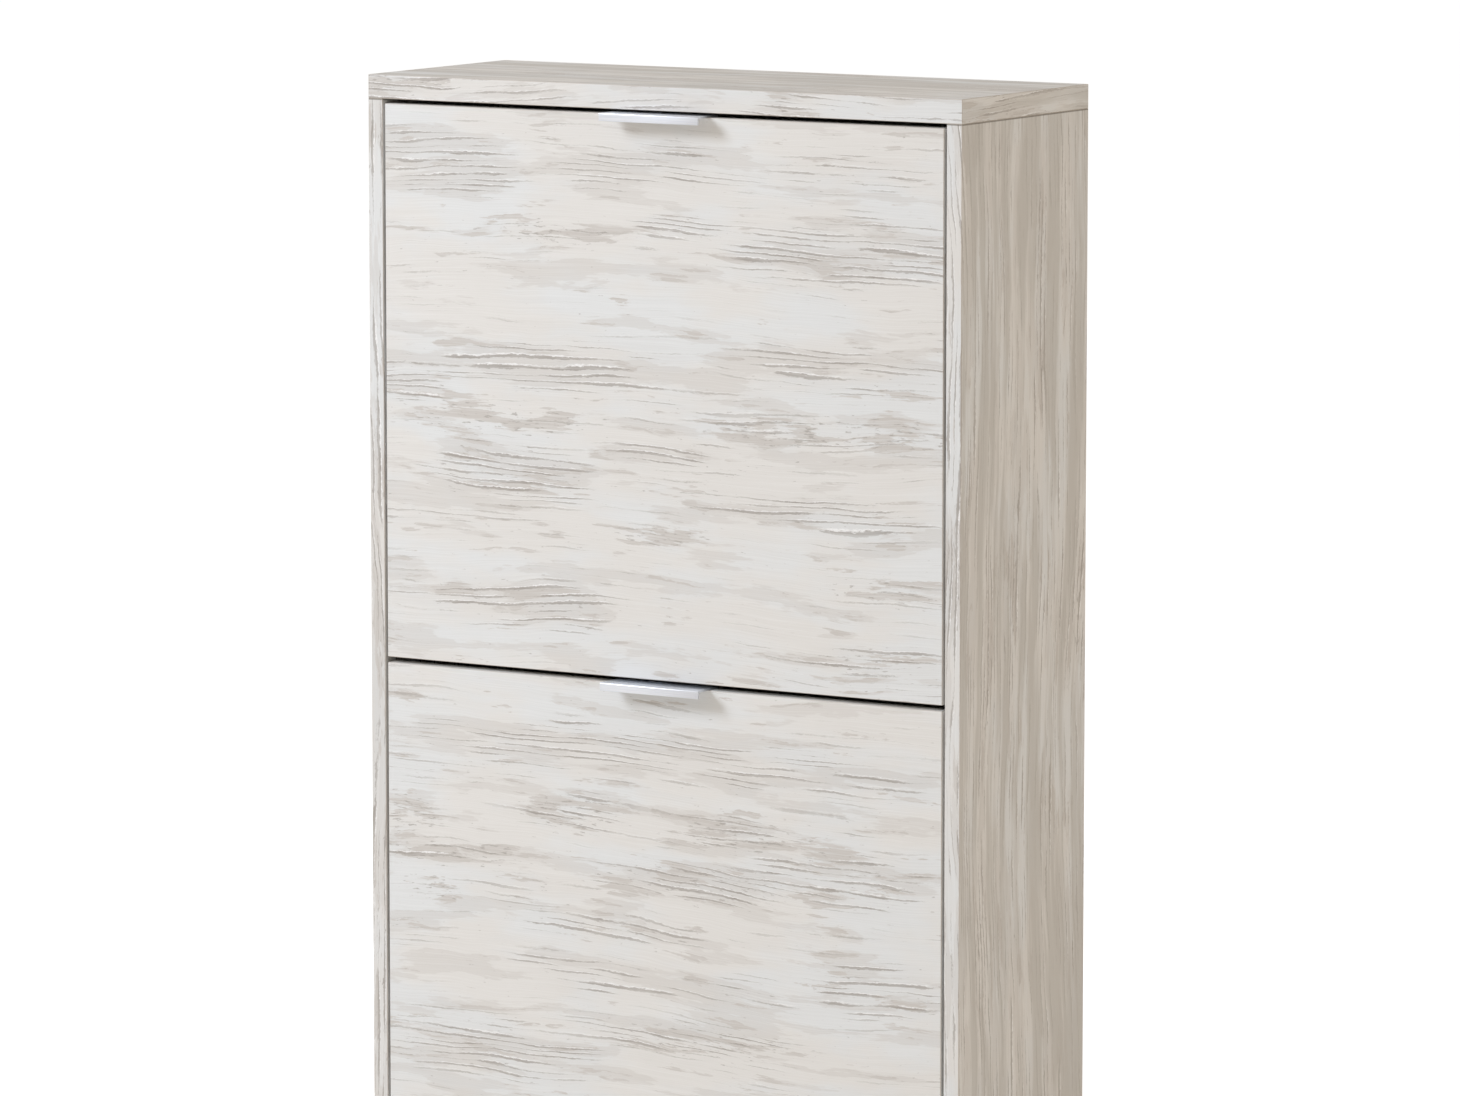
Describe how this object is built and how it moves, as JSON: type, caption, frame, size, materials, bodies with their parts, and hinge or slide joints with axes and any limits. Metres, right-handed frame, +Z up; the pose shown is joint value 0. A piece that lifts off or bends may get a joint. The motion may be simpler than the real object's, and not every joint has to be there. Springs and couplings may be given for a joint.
{
  "type": "shoe cabinet",
  "caption": "Narrow upright shoe cabinet in white-washed wood finish, with tilting flaps that carry leaning shoe shelves and small aluminium edge handles.",
  "frame": {"origin": "centre of the footprint, handles included, on the floor under the glides", "axes": "+Z up, +X to the right of someone facing the flaps, +Y towards the wall"},
  "size_m": [0.6, 0.237, 1.06],
  "materials": {
    "whitewashed_board": "satin",
    "white_hardboard": "satin",
    "anodised_aluminium": "satin",
    "cheek_plastic": "matte",
    "zinc_plated_steel": "satin",
    "zinc_alloy": "satin",
    "beech_dowel": "matte",
    "glide_plastic": "matte"
  },
  "bodies": {
    "carcass": {"top_panel": "whitewashed_board", "side_panel_left": "whitewashed_board", "side_panel_right": "whitewashed_board", "bottom_panel": "whitewashed_board", "plinth": "whitewashed_board", "upper_rear_rail": "whitewashed_board", "middle_rear_rail": "whitewashed_board", "back_panel": "white_hardboard", "cam_locks": "zinc_alloy", "cam_bolts": "zinc_plated_steel", "wooden_dowels": "beech_dowel", "back_panel_nails": "zinc_plated_steel", "floor_glides": "glide_plastic", "pivot_plates": "zinc_plated_steel", "pivot_plate_screws": "zinc_plated_steel", "guide_screws": "zinc_plated_steel"},
    "upper_flap": {"upper_flap_flap_panel": "whitewashed_board", "upper_flap_handle": "anodised_aluminium", "upper_flap_handle_screws": "zinc_plated_steel", "upper_flap_cheek_left": "cheek_plastic", "upper_flap_cheek_right": "cheek_plastic", "upper_flap_cheek_screws": "zinc_plated_steel", "upper_flap_lower_toe_shelf": "white_hardboard", "upper_flap_lower_sole_shelf": "white_hardboard", "upper_flap_upper_toe_shelf": "white_hardboard", "upper_flap_upper_sole_shelf": "white_hardboard"},
    "lower_flap": {"lower_flap_flap_panel": "whitewashed_board", "lower_flap_handle": "anodised_aluminium", "lower_flap_handle_screws": "zinc_plated_steel", "lower_flap_cheek_left": "cheek_plastic", "lower_flap_cheek_right": "cheek_plastic", "lower_flap_cheek_screws": "zinc_plated_steel", "lower_flap_lower_toe_shelf": "white_hardboard", "lower_flap_lower_sole_shelf": "white_hardboard", "lower_flap_upper_toe_shelf": "white_hardboard", "lower_flap_upper_sole_shelf": "white_hardboard"}
  },
  "joints": [
    {"name": "upper_flap_tilt", "type": "hinge", "parent": "carcass", "child": "upper_flap", "pos_m": [0, -0.0795, 0.645], "axis": [1, 0, 0], "range_deg": [0, 40]},
    {"name": "lower_flap_tilt", "type": "hinge", "parent": "carcass", "child": "lower_flap", "pos_m": [0, -0.0795, 0.15], "axis": [1, 0, 0], "range_deg": [0, 40]}
  ]
}
